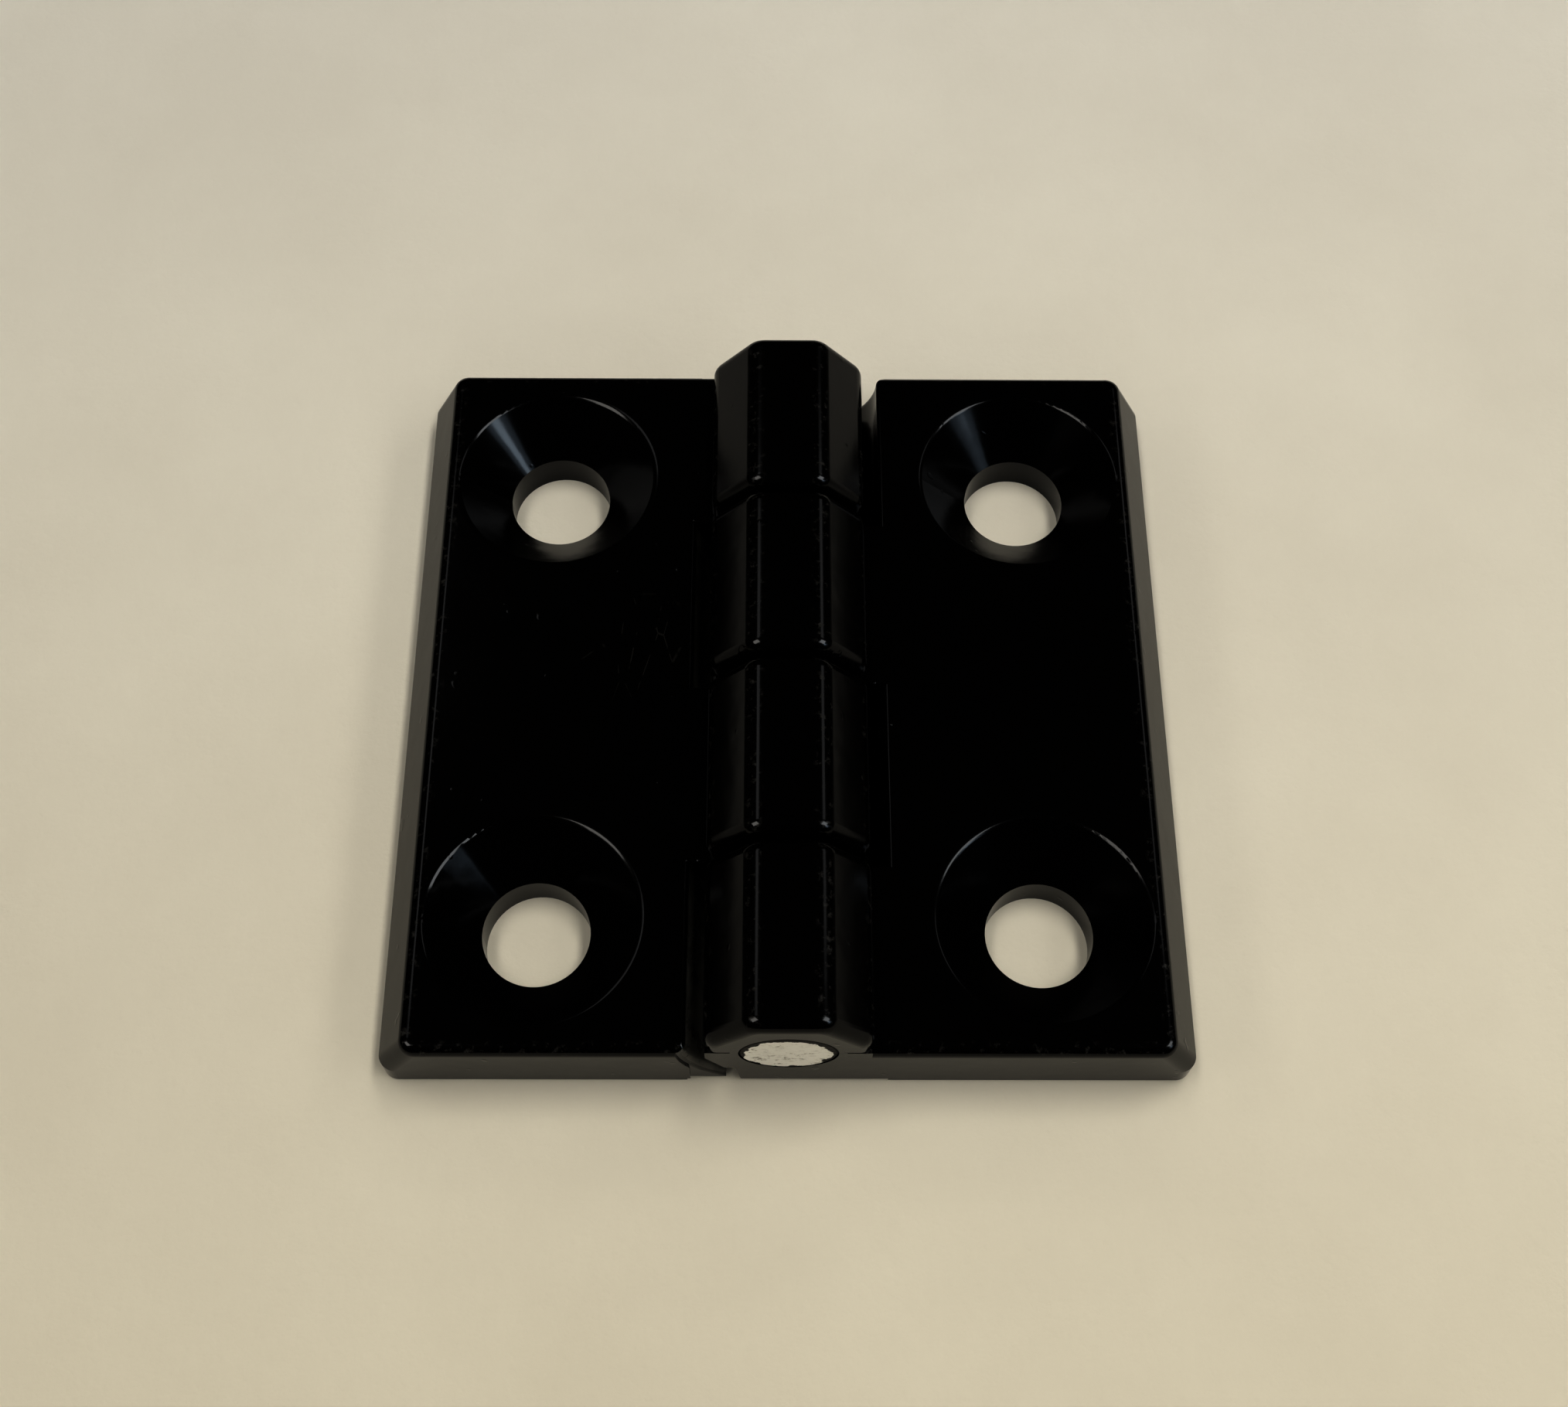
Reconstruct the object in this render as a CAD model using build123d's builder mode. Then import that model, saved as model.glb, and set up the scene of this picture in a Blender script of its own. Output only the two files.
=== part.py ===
from build123d import *
import os

# A block-type butt hinge of two cast leaves on one fixed pin, lying open and flat.
# Frame: +X from the left leaf to the right leaf, +Y along the pin from its front end to its rear end,
# +Z up from the mounting faces. The origin is under the pin, in the plane of the mounting faces,
# halfway along the leaves.

# ---- driving dimensions, mm ----
open_width = 50.0            # outer side to outer side with both leaves flat
leaf_length = 48.5           # along the pin
leaf_thickness = 5.9
side_inset = 1.9             # how far the sloping outer side leans in from foot to top
foot_height = 2.2            # upright strip below the sloping outer side
corner_radius = 1.0          # upright outer corners
top_edge_radius = 0.75       # rounding all round the top face
foot_edge_radius = 0.2       # rounding all round the mounting face

axis_height = 6.05           # pin axis above the mounting faces
pin_diameter = 6.0
pin_end_chamfer = 0.15
running_clearance = 0.05     # radial, between the pin and the knuckles that turn on it

barrel_height = 11.0         # flat top of the barrel above the mounting faces
barrel_top_width = 4.6       # flat strip along the top, before its edges are rounded
barrel_width = 10.2          # across the upright flanks above the parting line
flank_top = 7.65             # where the upper facets meet the flanks
facet_edge_radius = 1.5      # long edges between the facets
knuckle_end_radius = 0.85    # end edges of each knuckle above the parting line
parting_height = 6.1         # mould parting line round the barrel
parting_step = 0.1           # the lower mould half is narrower by this much a side
knuckle_gap = 0.3
rear_setback = 0.25          # barrel, pin and lips end this far inside the rear ends of the leaves

lower_flank = 5.0            # bottom of the flanks, where the lower facets begin
lower_facet_x = 3.85         # inner end of the lower facet
lower_facet_z = 2.9
root_top_x = 3.2             # side of the knuckle root where it leaves the barrel
root_x = 2.9                 # side of the knuckle root at its underside
lower_edge_radius = 0.35     # long edges of the lower mould half

recess_radius = 6.2          # clearance round the other leaf's knuckles
recess_edge_radius = 0.3
lip_end = 3.8                # how close to the axis a leaf reaches under the other leaf's knuckles
lip_side = 6.0               # outer side of the lip's end face
lip_edge_radius = 0.6        # end edge of the hollow over the lip
front_setback = 0.15         # the lip at the front ends this far inside the front end of its leaf
relief_depth = 0.45          # underside raised off the mounting plane round the axis
relief_half_width = 6.2

screw_spacing = 31.5         # between hole centres, across the hinge and along it
screw_hole_diameter = 6.8    # for M6 countersunk screws
countersink_diameter = 13.4
countersink_angle = 90
countersink_rim_radius = 0.5

seam_height = 0.14           # mould seam across the front end of the barrel
seam_depth = 0.1
seam_inner = 3.5
seam_outer = 4.8

cut_margin = 1.0             # how far cutters run past the faces they cut through

half_width = open_width / 2
half_length = leaf_length / 2
top_half_width = barrel_top_width / 2
flank_x = barrel_width / 2
lower_flank_x = flank_x - parting_step
barrel_rear = half_length - rear_setback

# Knuckle joints along the pin, front to rear. The cells between them belong to the right leaf
# and the left leaf by turns.
knuckle_splits = [-half_length, -12.3, 0.0, 12.1, barrel_rear]
cells = []
for front, rear in zip(knuckle_splits[:-1], knuckle_splits[1:]):
    front_gap = 0 if front == -half_length else knuckle_gap / 2
    rear_gap = 0 if rear == barrel_rear else knuckle_gap / 2
    cells.append((front + front_gap, rear - rear_gap))
right_cells = cells[0::2]
left_cells = cells[1::2]


def profile_plane(rear):
    """Upright plane across the hinge at Y = rear; extruding from it goes towards the front."""
    return Plane.XZ.offset(-rear)


def make_knuckle_cap(front, rear):
    """The part of one knuckle above the parting line, with its rounded edges."""
    with BuildPart() as cap:
        with BuildSketch(profile_plane(rear)):
            with BuildLine():
                Polyline(
                    (-flank_x, parting_height),
                    (flank_x, parting_height),
                    (flank_x, flank_top),
                    (top_half_width, barrel_height),
                    (-top_half_width, barrel_height),
                    (-flank_x, flank_top),
                    close=True,
                )
            make_face()
        extrude(amount=rear - front)
        levels = cap.edges().filter_by(Axis.Y).group_by(Axis.Z)
        fillet(levels[1] + levels[2], facet_edge_radius)
        end_faces = cap.faces().filter_by(Axis.Y)
        fillet(end_faces.edges().sort_by(Axis.Z)[len(end_faces):], knuckle_end_radius)
    return cap.part


def make_leaf(side, own_cells, other_cells, bore_diameter):
    """One leaf with its two knuckles. side is 1 for the right leaf and -1 for the left leaf."""
    caps = [make_knuckle_cap(front, rear) for front, rear in own_cells]
    top_outer_x = half_width - side_inset
    hole_x = side * screw_spacing / 2

    with BuildPart() as leaf:
        # Plate: one section carried along the pin direction
        with BuildSketch(profile_plane(half_length)):
            with BuildLine():
                Polyline(
                    (side * lip_end, relief_depth),
                    (side * relief_half_width, relief_depth),
                    (side * relief_half_width, 0),
                    (side * half_width, 0),
                    (side * half_width, foot_height),
                    (side * top_outer_x, leaf_thickness),
                    (side * lip_end, leaf_thickness),
                    close=True,
                )
            make_face()
        extrude(amount=leaf_length)
        across_edges = leaf.edges().filter_by(Axis.Y, reverse=True)
        fillet(across_edges.filter_by(lambda edge: abs(edge.center().X) > top_outer_x), corner_radius)
        top_edges = leaf.faces().sort_by(Axis.Z)[-1].edges()
        fillet(top_edges.sort_by(lambda edge: abs(edge.center().X))[1:], top_edge_radius)
        foot_edges = leaf.faces().sort_by(Axis.Z)[0].edges()
        fillet(foot_edges.sort_by(lambda edge: abs(edge.center().X))[1:], foot_edge_radius)

        # The middle stops short of the rear end on both leaves, and of the front end on the leaf
        # whose lip is there
        middle_width = lip_side - lip_end + cut_margin
        setbacks = [(half_length, rear_setback)]
        if other_cells[0][0] == -half_length:
            setbacks.append((front_setback - half_length, front_setback))
        for rear, depth in setbacks:
            with BuildSketch(profile_plane(rear)):
                with Locations((side * (lip_side - middle_width / 2), leaf_thickness / 2)):
                    Rectangle(middle_width, leaf_thickness + 2 * cut_margin)
            extrude(amount=depth, mode=Mode.SUBTRACT)

        # Hollows that the other leaf's knuckles turn in
        for front, rear in other_cells:
            with BuildSketch(profile_plane(rear + knuckle_gap)):
                with Locations((0, axis_height)):
                    Circle(recess_radius)
            extrude(amount=rear - front + 2 * knuckle_gap, mode=Mode.SUBTRACT)
        hollow_edges = leaf.edges().filter_by(Axis.Y).filter_by(
            lambda edge: abs(abs(edge.center().X) - recess_radius) < recess_edge_radius
            and abs(edge.center().Z - leaf_thickness) < recess_edge_radius
        )
        fillet(hollow_edges, recess_edge_radius)

        # Rounded end edge of the hollow over the lip, turned about the pin axis
        lip_face = barrel_rear if side > 0 else front_setback - half_length
        with BuildSketch(Plane.XY.offset(axis_height)):
            with Locations((recess_radius + lip_edge_radius, lip_face)):
                Rectangle(2 * lip_edge_radius, 2 * lip_edge_radius, align=(Align.MAX, Align.CENTER))
            with Locations((recess_radius + lip_edge_radius, lip_face - side * lip_edge_radius)):
                Circle(lip_edge_radius, mode=Mode.SUBTRACT)
        revolve(axis=Axis((0, 0, axis_height), (0, 1, 0)), mode=Mode.SUBTRACT)

        # Countersunk screw holes
        with Locations(
            (hole_x, -screw_spacing / 2, leaf_thickness),
            (hole_x, screw_spacing / 2, leaf_thickness),
        ):
            CounterSinkHole(
                radius=screw_hole_diameter / 2,
                counter_sink_radius=countersink_diameter / 2,
                counter_sink_angle=countersink_angle,
            )
        top_face = leaf.faces().filter_by(Plane.XY).sort_by(Axis.Z)[-1]
        fillet(top_face.edges().filter_by(GeomType.CIRCLE), countersink_rim_radius)

        # Knuckles: the moulded lower half with its root, then the rounded cap
        for front, rear in own_cells:
            with BuildSketch(profile_plane(rear)) as lower_half:
                with BuildLine():
                    Polyline(
                        (side * lower_flank_x, parting_height),
                        (-side * lower_flank_x, parting_height),
                        (-side * lower_flank_x, lower_flank),
                        (-side * lower_facet_x, lower_facet_z),
                        (-side * root_top_x, lower_facet_z),
                        (-side * root_x, relief_depth),
                        (side * lower_flank_x, relief_depth),
                        close=True,
                    )
                make_face()
                levels = lower_half.vertices().group_by(Axis.Y)
                fillet(levels[1] + levels[2], lower_edge_radius)
            extrude(amount=rear - front)
        for cap in caps:
            add(cap)

        # Bore for the pin
        with BuildSketch(profile_plane(half_length)):
            with Locations((0, axis_height)):
                Circle(bore_diameter / 2)
        extrude(amount=leaf_length, mode=Mode.SUBTRACT)

        # Mould seam across the front end of the barrel, on the leaf that has the front knuckle
        if own_cells[0][0] == -half_length:
            seam_x = (seam_inner + seam_outer) / 2
            with BuildSketch(profile_plane(seam_depth - half_length)):
                with Locations(
                    (-seam_x, parting_height + seam_height / 2),
                    (seam_x, parting_height + seam_height / 2),
                ):
                    Rectangle(seam_outer - seam_inner, seam_height)
            extrude(amount=seam_depth, mode=Mode.SUBTRACT)
    return leaf.part


left_leaf = make_leaf(-1, left_cells, right_cells, pin_diameter + 2 * running_clearance)
right_leaf = make_leaf(1, right_cells, left_cells, pin_diameter)

with BuildPart() as hinge_pin:
    with BuildSketch(profile_plane(barrel_rear)):
        with Locations((0, axis_height)):
            Circle(pin_diameter / 2)
    extrude(amount=barrel_rear + half_length)
    chamfer(hinge_pin.edges().filter_by(GeomType.CIRCLE), pin_end_chamfer)

os.makedirs("parts", exist_ok=True)
for name, part in (("left_leaf", left_leaf), ("right_leaf", right_leaf), ("hinge_pin", hinge_pin.part)):
    part.label = name
    export_step(part, f"parts/{name}.step")
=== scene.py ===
import math
from functools import reduce

import bmesh
import bpy
from mathutils import Matrix, Vector, noise


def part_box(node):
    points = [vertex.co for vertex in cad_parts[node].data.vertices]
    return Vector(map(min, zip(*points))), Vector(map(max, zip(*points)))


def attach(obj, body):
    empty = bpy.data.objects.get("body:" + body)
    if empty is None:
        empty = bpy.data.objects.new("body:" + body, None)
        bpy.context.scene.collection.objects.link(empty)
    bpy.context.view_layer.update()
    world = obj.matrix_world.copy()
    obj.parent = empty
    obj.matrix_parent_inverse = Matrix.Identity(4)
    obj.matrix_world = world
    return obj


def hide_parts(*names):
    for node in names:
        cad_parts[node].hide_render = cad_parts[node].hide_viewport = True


# The hinge lies open on pale paper. All lengths are in metres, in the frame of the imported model.
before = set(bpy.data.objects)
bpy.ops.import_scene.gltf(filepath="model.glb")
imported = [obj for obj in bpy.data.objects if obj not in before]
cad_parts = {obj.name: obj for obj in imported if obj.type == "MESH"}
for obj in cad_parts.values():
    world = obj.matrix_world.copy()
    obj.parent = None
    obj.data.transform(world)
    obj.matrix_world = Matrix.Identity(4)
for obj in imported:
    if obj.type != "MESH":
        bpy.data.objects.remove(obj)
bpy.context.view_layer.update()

# ---- camera ----
CAMERA_PLACE = (-0.00125, -0.05722, 0.12496)
CAMERA_DOWN_DEG = 62.62
CAMERA_YAW_DEG = -0.92
CAMERA_ROLL_DEG = 1.0
SENSOR_MM = 36.0
LENS_MM = 46.78
LENS_SHIFT_Y = -0.05
CLIP_NEAR = 0.005
CLIP_FAR = 10.0
VIEW_GAMMA = 0.7

# ---- the hinge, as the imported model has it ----
AXIS_HEIGHT = 0.00605
LEAF_TOP = 0.0059
PIN_RADIUS = 0.003
PIN_CHAMFER = 0.00015
BARREL_TOP = 0.011
BARREL_TOP_EDGE_X = 0.0023
FLANK_X = 0.0051
FLANK_TOP = 0.00765
LEAF_TOP_OUTER_X = 0.0231
LEAF_HALF_LENGTH = 0.02425
HOLLOW_RADIUS = 0.0062
HOLLOW_BOTTOM = 0.0008
HOLLOW_FRONT = -0.020
HOLLOW_REAR = -0.0125

# ---- floor ----
FLOOR_HALF_SIZE = 0.6
PAPER_FRONT = (0.76, 0.705, 0.575, 1)
PAPER_REAR = (0.76, 0.735, 0.67, 1)
PAPER_CLOUD = (0.955, 0.95, 0.945, 1)
PAPER_PLAIN = (1.0, 1.0, 1.0, 1)
# Painted shade: the paper darkens towards the next colour far from the hinge, a painted falloff of light.
PAPER_FAR_PAINTED_SHADE = (0.40, 0.39, 0.37, 1)
PAINTED_SHADE_START = 0.11
PAINTED_SHADE_END = 0.25
PAPER_TINT_START = -0.05
PAPER_TINT_END = 0.09
PAPER_ROUGHNESS = 0.85
PAPER_SPECULAR = 0.2
FIBRE_DEPTH = 0.00004

# ---- coating ----
COAT_BLACK = (0.0011, 0.0010, 0.0009, 1)
COAT_WORN = (0.030, 0.028, 0.024, 1)
# Painted reflection: the next colour is grey painted into the left leaf's front hollow in place of the
# paper's reflection.
COAT_PAINTED_REFLECTION = (0.085, 0.081, 0.068, 1)
COAT_IOR = 1.3
PEEL_DEPTH = 0.000011
GRAIN_DEPTH = 0.0000008
SPECK_DEPTH = 0.00001
WORN_ROUGHER = 0.25
HOLLOW_ROUGHER = 0.3
SCRATCH_PLACE = (-0.0100, 0.0030)
SCRATCH_STRETCH = (1.0, 0.35, 0.0)
SCRATCH_TURN = (0.0, 0.0, 0.9)
SCRATCH_STRENGTH = 0.5

# Dried drops of coating on the top faces: x, y and radius of each
NIBS_LEFT = (
    (-0.00632, -0.01204, 0.00011), (-0.00560, -0.01202, 0.00013), (-0.00635, 0.01240, 0.00012),
    (-0.00610, 0.01610, 0.00009), (-0.00653, -0.02371, 0.00009), (-0.01876, 0.00595, 0.00008),
    (-0.00830, -0.00680, 0.00007),
)
NIBS_RIGHT = ((0.00560, 0.00027, 0.00012), (0.00662, -0.00273, 0.00012))
NIB_LENGTH = 1.2
NIB_HEIGHT = 0.7
NIB_UNEVEN = 0.25
NIB_DETAIL = 3

# ---- sheared ends of the pin ----
STEEL_LIGHT = (0.93, 0.925, 0.90, 1)
STEEL_DARK = (0.42, 0.40, 0.36, 1)
STEEL_METALLIC = 0.6
STEEL_SPECULAR = 0.1
STEEL_STRETCH = (1.0, 1.0, 3.0)
STEEL_TURN = (0.0, 0.5, 0.0)
PAINT_RIM = (0.010, 0.008, 0.006, 1)
RIM_INNER = 0.00258
RIM_OUTER = 0.00263
RIM_RAGGED = 0.0012
RIM_LEAN = 0.09
RIM_LEAN_SIDE = 0.25
FLAKE_BUMP = 0.00003
PIT_BUMP = 0.00002
PIN_RINGS = 40
PIN_STEPS = 128
TORN_DEPTH = 0.00004
FLAKE_DEPTH = 0.000022
FLAKE_SCALE = 1100.0
FLAKE_STRETCH = 2.2
DENT_DEPTH = 0.00002
DENT_SCALE = 420.0
DENT_SEED = 0.004
TORN_EDGE_POWER = 6
SHARP_ANGLE_DEG = 30

# ---- light ----
# Lamps light the paper and are hidden from the gloss: name, start and end direction as azimuth and
# elevation in degrees, width, radiance and distance
LAMP_COLOR = (1.0, 0.985, 0.95)
LAMPS = (
    ("lamp_right", (-60, 60), (60, 60), 0.067, 11.4, 0.4),
    ("lamp_left", (-120, 62), (120, 62), 0.15, 7.0, 0.9),
    ("low_lamp_right", (-50, 34), (50, 34), 0.10, 2.9, 0.6),
    ("low_lamp_left", (140, 34), (220, 34), 0.10, 1.9, 0.6),
    ("low_lamp_rear", (60, 36), (120, 36), 0.10, 1.5, 0.6),
    ("low_lamp_front", (240, 30), (300, 30), 0.10, 1.1, 0.6),
)
# Panels are what the gloss shows, and don't light the paper: name, start, end, width, radiance and color
PANEL_DISTANCE = 0.6
PANELS = (
    ("right_panel", (-34, 46), (4, 44), 0.26, 11.0, (0.95, 0.98, 1.0)),
    ("window", (-30, 30), (-22, 29), 0.10, 10.0, (0.75, 0.88, 1.0)),
    ("window_halo", (-38, 28), (-16, 27), 0.16, 2.5, (0.65, 0.82, 1.0)),
    ("left_panel", (186, 50), (224, 52), 0.28, 10.0, (1.0, 0.97, 0.92)),
    ("rear_right_strip", (24, 47), (46, 40), 0.12, 2.0, (1.0, 1.0, 1.0)),
    ("rear_left_strip", (150, 62), (122, 52), 0.12, 2.2, (1.0, 1.0, 1.0)),
)
ROOM_COLOR = (1.0, 0.98, 0.94, 1)
ROOM_STRENGTH = 0.015

# Sockets that a colour mix node uses, by number
MIX_FACTOR, MIX_FIRST, MIX_SECOND, MIX_RESULT = 0, 6, 7, 2


def add_camera():
    camera = bpy.data.objects.new("camera", bpy.data.cameras.new("camera"))
    camera.data.sensor_width = SENSOR_MM
    camera.data.lens = LENS_MM
    camera.data.shift_y = LENS_SHIFT_Y
    camera.data.clip_start = CLIP_NEAR
    camera.data.clip_end = CLIP_FAR
    tilt = Matrix.Rotation(math.radians(90 - CAMERA_DOWN_DEG), 3, "X")
    yaw = Matrix.Rotation(math.radians(CAMERA_YAW_DEG), 3, "Z")
    roll = Matrix.Rotation(math.radians(CAMERA_ROLL_DEG), 3, "Z")
    camera.matrix_world = Matrix.Translation(CAMERA_PLACE) @ (yaw @ tilt @ roll).to_4x4()
    bpy.context.scene.collection.objects.link(camera)
    bpy.context.scene.camera = camera


def add_object(name, mesh, material):
    mesh.materials.append(material)
    made = bpy.data.objects.new(name, mesh)
    bpy.context.scene.collection.objects.link(made)
    return made


# ---- shader nodes ----
def add_node(tree, kind, inputs, **settings):
    """A new node with its settings; each input is a value, or a socket to link from."""
    made = tree.nodes.new(kind)
    for name, value in settings.items():
        setattr(made, name, value)
    for name, value in inputs.items():
        if isinstance(value, bpy.types.NodeSocket):
            tree.links.new(value, made.inputs[name])
        else:
            made.inputs[name].default_value = value
    return made


def new_material(name):
    material = bpy.data.materials.new(name)
    material.use_nodes = True
    tree = material.node_tree
    return material, tree, tree.nodes["Principled BSDF"]


def object_coordinates(tree):
    return tree.nodes.new("ShaderNodeTexCoord").outputs["Object"]


def split(tree, vector):
    """The X, Y and Z of a vector."""
    outputs = add_node(tree, "ShaderNodeSeparateXYZ", {"Vector": vector}).outputs
    return outputs["X"], outputs["Y"], outputs["Z"]


def stretch(tree, vector, scale, turn):
    """Coordinates scaled and turned, for a texture that runs one way."""
    inputs = {"Vector": vector, "Scale": scale, "Rotation": turn}
    return add_node(tree, "ShaderNodeMapping", inputs).outputs[0]


def noise_value(tree, vector, scale, detail=2.0, roughness=0.5, distortion=0.0):
    inputs = {
        "Vector": vector, "Scale": scale, "Detail": detail, "Roughness": roughness,
        "Distortion": distortion,
    }
    return add_node(tree, "ShaderNodeTexNoise", inputs).outputs[0]


def remap(tree, value, low, high, to_low=0.0, to_high=1.0):
    inputs = {"Value": value, "From Min": low, "From Max": high, "To Min": to_low, "To Max": to_high}
    return add_node(tree, "ShaderNodeMapRange", inputs).outputs[0]


def combine(tree, operation, *values):
    """Values joined from left to right by one operation."""
    return reduce(
        lambda first, second: add_node(
            tree, "ShaderNodeMath", {0: first, 1: second}, operation=operation
        ).outputs[0],
        values,
    )


def of_one(tree, operation, value):
    """One value through an operation that takes only one."""
    return add_node(tree, "ShaderNodeMath", {0: value}, operation=operation).outputs[0]


def mix_color(tree, factor, first, second, blend="MIX"):
    inputs = {MIX_FACTOR: factor, MIX_FIRST: first, MIX_SECOND: second}
    made = add_node(tree, "ShaderNodeMix", inputs, data_type="RGBA", blend_type=blend)
    return made.outputs[MIX_RESULT]


def add_bump(tree, height, distance, normal=None):
    inputs = {"Height": height, "Distance": distance, "Strength": 1.0}
    if normal is not None:
        inputs["Normal"] = normal
    return add_node(tree, "ShaderNodeBump", inputs).outputs[0]


def distance_to(tree, first, second, first_place, second_place):
    """Distance from a line that runs where two coordinates have the given values."""
    across = combine(tree, "SUBTRACT", first, first_place)
    up = combine(tree, "SUBTRACT", second, second_place)
    squares = combine(
        tree, "ADD", combine(tree, "MULTIPLY", across, across), combine(tree, "MULTIPLY", up, up)
    )
    return of_one(tree, "SQRT", squares)


# ---- coating ----
def worn_edges(tree, vector):
    """1 on the edges that hands and tools touch, 0 away from them."""
    x, y, up = split(tree, vector)
    side = of_one(tree, "ABSOLUTE", x)
    along = of_one(tree, "ABSOLUTE", y)
    nearest = combine(
        tree,
        "MINIMUM",
        distance_to(tree, side, up, BARREL_TOP_EDGE_X, BARREL_TOP),
        distance_to(tree, side, up, FLANK_X, FLANK_TOP),
        distance_to(tree, side, up, LEAF_TOP_OUTER_X, LEAF_TOP),
        distance_to(tree, along, up, LEAF_HALF_LENGTH, LEAF_TOP),
    )
    return remap(tree, nearest, low=0.0003, high=0.0009, to_low=1.0, to_high=0.0)


def scratches(tree, vector):
    """A small patch of fine crossing scratches on the left leaf."""
    x, y, _ = split(tree, vector)
    distance = distance_to(tree, x, y, *SCRATCH_PLACE)
    patch = remap(tree, distance, low=0.0015, high=0.0045, to_low=SCRATCH_STRENGTH, to_high=0.0)
    cells = add_node(
        tree,
        "ShaderNodeTexVoronoi",
        {"Vector": stretch(tree, vector, SCRATCH_STRETCH, SCRATCH_TURN), "Scale": 650.0},
        feature="DISTANCE_TO_EDGE",
    )
    lines = remap(tree, cells.outputs[0], low=0.004, high=0.02, to_low=1.0, to_high=0.0)
    broken = remap(tree, noise_value(tree, vector, scale=700.0), low=0.50, high=0.56)
    return combine(tree, "MULTIPLY", patch, lines, broken)


def hollow_painted_reflection(tree, vector):
    """1 in the left leaf's hollow at the front knuckle, where mottled grey is painted in as a painted
    reflection of the paper in front, 0 elsewhere.
    """
    side, along, up = split(tree, vector)
    facing = split(tree, tree.nodes.new("ShaderNodeTexCoord").outputs["Normal"])
    distance = distance_to(tree, side, up, 0.0, AXIS_HEIGHT)
    gap = of_one(tree, "ABSOLUTE", combine(tree, "SUBTRACT", distance, HOLLOW_RADIUS))
    facing_along = of_one(tree, "ABSOLUTE", facing[1])
    return combine(
        tree,
        "MULTIPLY",
        remap(tree, noise_value(tree, vector, 600.0, detail=3.0, roughness=0.6), 0.3, 0.6, 0.3, 1.0),
        remap(tree, gap, low=0.0003, high=0.0008, to_low=1.0, to_high=0.0),
        remap(tree, up, low=LEAF_TOP - 0.0006, high=LEAF_TOP - 0.0002, to_low=1.0, to_high=0.0),
        remap(tree, up, low=HOLLOW_BOTTOM, high=HOLLOW_BOTTOM + 0.0002),
        remap(tree, along, low=HOLLOW_FRONT, high=HOLLOW_REAR, to_low=1.0, to_high=0.25),
        remap(tree, side, low=-0.001, high=0.001, to_low=1.0, to_high=0.0),
        remap(tree, facing_along, low=0.8, high=0.95, to_low=1.0, to_high=0.0),
    )


def make_coating():
    """Gloss black powder coating: fine orange peel, specks, thin places along the edges, and a grey painted
    reflection in one hollow.
    """
    material, tree, shader = new_material("gloss_black_coating")
    vector = object_coordinates(tree)
    flecks = noise_value(tree, vector, scale=1900.0, detail=4.0, roughness=0.7)
    thin = combine(tree, "MULTIPLY", worn_edges(tree, vector), remap(tree, flecks, low=0.56, high=0.72))
    wear = combine(tree, "MAXIMUM", thin, scratches(tree, vector))
    # Painted reflection: grey painted into the left leaf's front hollow in place of the paper's reflection,
    # with a rougher coating there.
    painted_reflection = hollow_painted_reflection(tree, vector)
    color = mix_color(tree, painted_reflection, mix_color(tree, wear, COAT_BLACK, COAT_WORN), COAT_PAINTED_REFLECTION)
    patches = noise_value(tree, vector, scale=60.0, detail=4.0, roughness=0.6)
    roughness = combine(
        tree,
        "ADD",
        remap(tree, patches, low=0.3, high=0.7, to_low=0.09, to_high=0.17),
        combine(tree, "MULTIPLY", wear, WORN_ROUGHER),
        combine(tree, "MULTIPLY", painted_reflection, HOLLOW_ROUGHER),
    )
    peel = noise_value(tree, vector, scale=520.0, detail=1.0)
    grain = noise_value(tree, vector, scale=2600.0, detail=2.0, roughness=0.6)
    speck = remap(tree, noise_value(tree, vector, scale=900.0, detail=1.0), low=0.735, high=0.78)
    normal = add_bump(tree, peel, PEEL_DEPTH)
    normal = add_bump(tree, grain, GRAIN_DEPTH, normal)
    normal = add_bump(tree, speck, SPECK_DEPTH, normal)
    shader.inputs["IOR"].default_value = COAT_IOR
    tree.links.new(color, shader.inputs["Base Color"])
    tree.links.new(roughness, shader.inputs["Roughness"])
    tree.links.new(normal, shader.inputs["Normal"])
    return material


# ---- steel ----
def painted_rim(tree, vector):
    """1 on the torn black paint round a pin end, which is wider at the top, 0 on the bare steel."""
    side, _, up = split(tree, vector)
    radius = distance_to(tree, side, up, 0.0, AXIS_HEIGHT)
    height = combine(tree, "SUBTRACT", up, AXIS_HEIGHT)
    lean = combine(tree, "ADD", combine(tree, "MULTIPLY", side, RIM_LEAN_SIDE), height)
    tear = noise_value(tree, vector, scale=1100.0, detail=4.0, roughness=0.65)
    ragged = combine(tree, "MULTIPLY", combine(tree, "SUBTRACT", tear, 0.5), RIM_RAGGED)
    edge = combine(tree, "ADD", radius, ragged, combine(tree, "MULTIPLY", lean, RIM_LEAN))
    return remap(tree, edge, low=RIM_INNER, high=RIM_OUTER)


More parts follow.
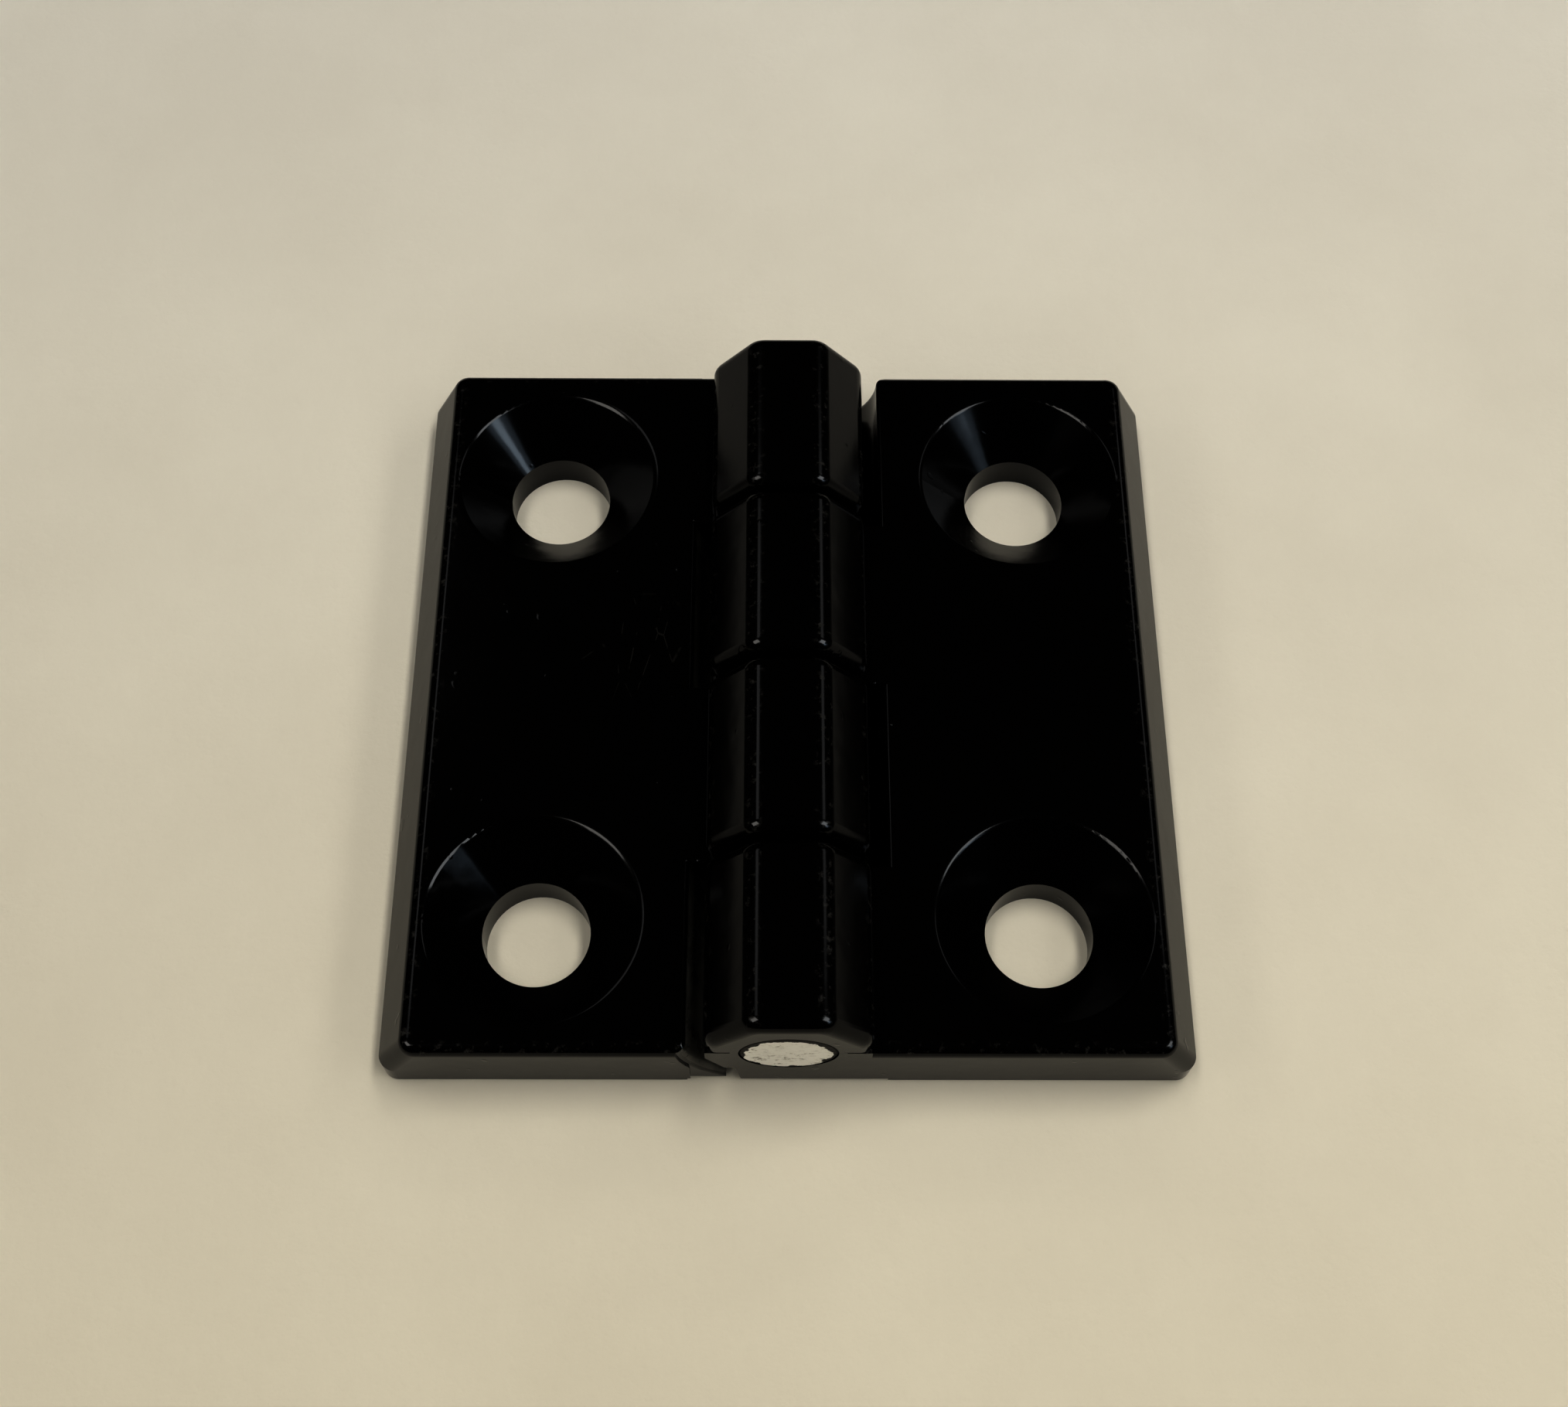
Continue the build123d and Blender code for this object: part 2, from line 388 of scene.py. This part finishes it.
def make_steel():
    """Bare sheared steel with torn black paint round its rim."""
    material, tree, shader = new_material("sheared_steel")
    vector = object_coordinates(tree)
    rim = painted_rim(tree, vector)
    torn = stretch(tree, vector, STEEL_STRETCH, STEEL_TURN)
    flake = noise_value(tree, torn, scale=1500.0, detail=5.0, roughness=0.7, distortion=0.4)
    pits = remap(tree, noise_value(tree, vector, scale=1500.0, detail=4.0, roughness=0.65), 0.30, 0.42)
    bright = combine(tree, "MULTIPLY", pits, remap(tree, flake, low=0.2, high=0.45))
    metal = mix_color(tree, bright, STEEL_DARK, STEEL_LIGHT)
    metallic = remap(tree, rim, low=0.0, high=1.0, to_low=STEEL_METALLIC, to_high=0.0)
    roughness = remap(tree, flake, low=0.2, high=0.8, to_low=0.4, to_high=0.6)
    normal = add_bump(tree, flake, FLAKE_BUMP)
    normal = add_bump(tree, pits, PIT_BUMP, normal)
    shader.inputs["Specular IOR Level"].default_value = STEEL_SPECULAR
    tree.links.new(mix_color(tree, rim, metal, PAINT_RIM), shader.inputs["Base Color"])
    tree.links.new(metallic, shader.inputs["Metallic"])
    tree.links.new(roughness, shader.inputs["Roughness"])
    tree.links.new(normal, shader.inputs["Normal"])
    return material


# ---- paper ----
def make_paper():
    """Pale paper, a little warmer at the front, with painted shade that darkens it far from the hinge, soft
    clouds and fine fibres.
    """
    material, tree, shader = new_material("paper")
    vector = object_coordinates(tree)
    x, y, _ = split(tree, vector)
    rear = remap(tree, y, low=PAPER_TINT_START, high=PAPER_TINT_END)
    tint = mix_color(tree, rear, PAPER_FRONT, PAPER_REAR)
    cloud = noise_value(tree, vector, scale=26.0, detail=6.0, roughness=0.62)
    shade = mix_color(tree, remap(tree, cloud, low=0.38, high=0.62), PAPER_CLOUD, PAPER_PLAIN)
    # Painted shade: the paper's colour darkens far from the hinge, a painted falloff of light.
    painted_falloff = remap(tree, distance_to(tree, x, y, 0.0, 0.0), low=PAINTED_SHADE_START, high=PAINTED_SHADE_END)
    color = mix_color(tree, 1.0, tint, mix_color(tree, painted_falloff, shade, PAPER_FAR_PAINTED_SHADE), blend="MULTIPLY")
    fibre = noise_value(tree, vector, scale=1400.0, detail=4.0, roughness=0.6)
    shader.inputs["Roughness"].default_value = PAPER_ROUGHNESS
    shader.inputs["Specular IOR Level"].default_value = PAPER_SPECULAR
    tree.links.new(color, shader.inputs["Base Color"])
    tree.links.new(add_bump(tree, fibre, FIBRE_DEPTH), shader.inputs["Normal"])
    return material


def add_floor():
    size = FLOOR_HALF_SIZE
    corners = [(-size, -size, 0), (size, -size, 0), (size, size, 0), (-size, size, 0)]
    mesh = bpy.data.meshes.new("paper")
    mesh.from_pydata(corners, [], [(0, 1, 2, 3)])
    add_object("paper", mesh, make_paper())


# ---- pin ----
def pin_end_depth(x, z, radius):
    """How far a sheared end of the pin is torn in at a point: flakes, furrows and a worn rim."""
    flakes = noise.fractal(Vector((x, z * FLAKE_STRETCH, 0.0)) * FLAKE_SCALE, 0.9, 2.1, 4)
    dent = noise.noise(Vector((x, z, DENT_SEED)) * DENT_SCALE)
    inner = 1.0 - min(1.0, radius / PIN_RADIUS) ** TORN_EDGE_POWER
    return max(0.0, (TORN_DEPTH + FLAKE_DEPTH * flakes + DENT_DEPTH * dent) * inner)


def add_ring(shape, radius, y_at):
    """A ring of points round the pin's axis; y_at gives each point's place along it."""
    ring = []
    for step in range(PIN_STEPS):
        angle = math.tau * step / PIN_STEPS
        x = radius * math.cos(angle)
        z = radius * math.sin(angle)
        ring.append(shape.verts.new((x, y_at(x, z), AXIS_HEIGHT + z)))
    return ring


def join_rings(shape, inner, outer):
    for step in range(PIN_STEPS):
        after = (step + 1) % PIN_STEPS
        shape.faces.new((inner[step], outer[step], outer[after], inner[after]))


def add_pin_end(shape, end, inward):
    """A finely divided torn surface with a chamfer round it. Gives back its outer ring."""
    center = shape.verts.new((0.0, end + inward * pin_end_depth(0.0, 0.0, 0.0), AXIS_HEIGHT))
    rings = []
    for number in range(1, PIN_RINGS + 1):
        radius = (PIN_RADIUS - PIN_CHAMFER) * number / PIN_RINGS
        rings.append(add_ring(shape, radius, lambda x, z: end + inward * pin_end_depth(x, z, radius)))
    rings.append(add_ring(shape, PIN_RADIUS, lambda x, z: end + inward * PIN_CHAMFER))
    for step in range(PIN_STEPS):
        shape.faces.new((center, rings[0][step], rings[0][(step + 1) % PIN_STEPS]))
    for inner, outer in zip(rings[:-1], rings[1:]):
        join_rings(shape, inner, outer)
    return rings[-1]


def add_pin():
    """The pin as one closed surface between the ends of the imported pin."""
    low, high = (Vector(corner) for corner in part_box("hinge_pin"))
    mesh = bpy.data.meshes.new("pin")
    shape = bmesh.new()
    front = add_pin_end(shape, low.y, 1.0)
    rear = add_pin_end(shape, high.y, -1.0)
    join_rings(shape, front, rear)
    bmesh.ops.recalc_face_normals(shape, faces=shape.faces)
    for face in shape.faces:
        face.smooth = True
    shape.to_mesh(mesh)
    shape.free()
    mesh.set_sharp_from_angle(angle=math.radians(SHARP_ANGLE_DEG))
    pin = add_object("pin", mesh, make_steel())
    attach(pin, "fixed_leaf")
    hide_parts("hinge_pin")


# ---- drops of coating ----
def add_nibs(name, body, places, coating):
    """Small uneven drops of coating that dried on the top face of a leaf."""
    mesh = bpy.data.meshes.new(name)
    shape = bmesh.new()
    for x, y, radius in places:
        middle = Vector((x, y, LEAF_TOP))
        size = Matrix.Diagonal((radius, radius * NIB_LENGTH, radius * NIB_HEIGHT, 1.0))
        made = bmesh.ops.create_icosphere(
            shape, subdivisions=NIB_DETAIL, radius=1.0, matrix=Matrix.Translation(middle) @ size
        )
        for vert in made["verts"]:
            vert.co = middle + (vert.co - middle) * (1.0 + NIB_UNEVEN * noise.noise(vert.co / radius))
    for face in shape.faces:
        face.smooth = True
    shape.to_mesh(mesh)
    shape.free()
    nibs = add_object(name, mesh, coating)
    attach(nibs, body)


# ---- light ----
def direction(azimuth_deg, elevation_deg):
    azimuth = math.radians(azimuth_deg)
    elevation = math.radians(elevation_deg)
    level = math.cos(elevation)
    return Vector((level * math.cos(azimuth), level * math.sin(azimuth), math.sin(elevation)))


def add_panel(name, start, end, width, radiance, color, distance):
    """A light panel from one direction to another, facing the hinge. radiance is how bright its face is."""
    along = (direction(*end) - direction(*start)) * distance
    facing = (direction(*start) + direction(*end)).normalized()
    lamp = bpy.data.lights.new(name, "AREA")
    lamp.shape = "RECTANGLE"
    lamp.size = along.length
    lamp.size_y = width
    lamp.energy = radiance * math.pi * lamp.size * lamp.size_y
    lamp.color = color
    panel = bpy.data.objects.new(name, lamp)
    side = along.normalized()
    turn = Matrix((side, facing.cross(side), facing)).transposed()
    panel.matrix_world = Matrix.Translation(facing * distance) @ turn.to_4x4()
    bpy.context.scene.collection.objects.link(panel)
    return panel


def add_lights():
    for name, start, end, width, radiance, distance in LAMPS:
        lamp = add_panel(name, start, end, width, radiance, LAMP_COLOR, distance)
        lamp.visible_glossy = False
    for name, start, end, width, radiance, color in PANELS:
        panel = add_panel(name, start, end, width, radiance, color, PANEL_DISTANCE)
        panel.visible_diffuse = False
    world = bpy.data.worlds.new("room")
    world.use_nodes = True
    background = world.node_tree.nodes["Background"]
    background.inputs["Color"].default_value = ROOM_COLOR
    background.inputs["Strength"].default_value = ROOM_STRENGTH
    scene = bpy.context.scene
    scene.world = world
    scene.view_settings.view_transform = "Standard"
    scene.view_settings.gamma = VIEW_GAMMA


add_camera()
add_floor()
add_lights()
coating = make_coating()
for node_name in ("left_leaf", "right_leaf"):
    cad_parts[node_name].data.materials[0] = coating
add_pin()
add_nibs("left_nibs", "swinging_leaf", NIBS_LEFT, coating)
add_nibs("right_nibs", "fixed_leaf", NIBS_RIGHT, coating)
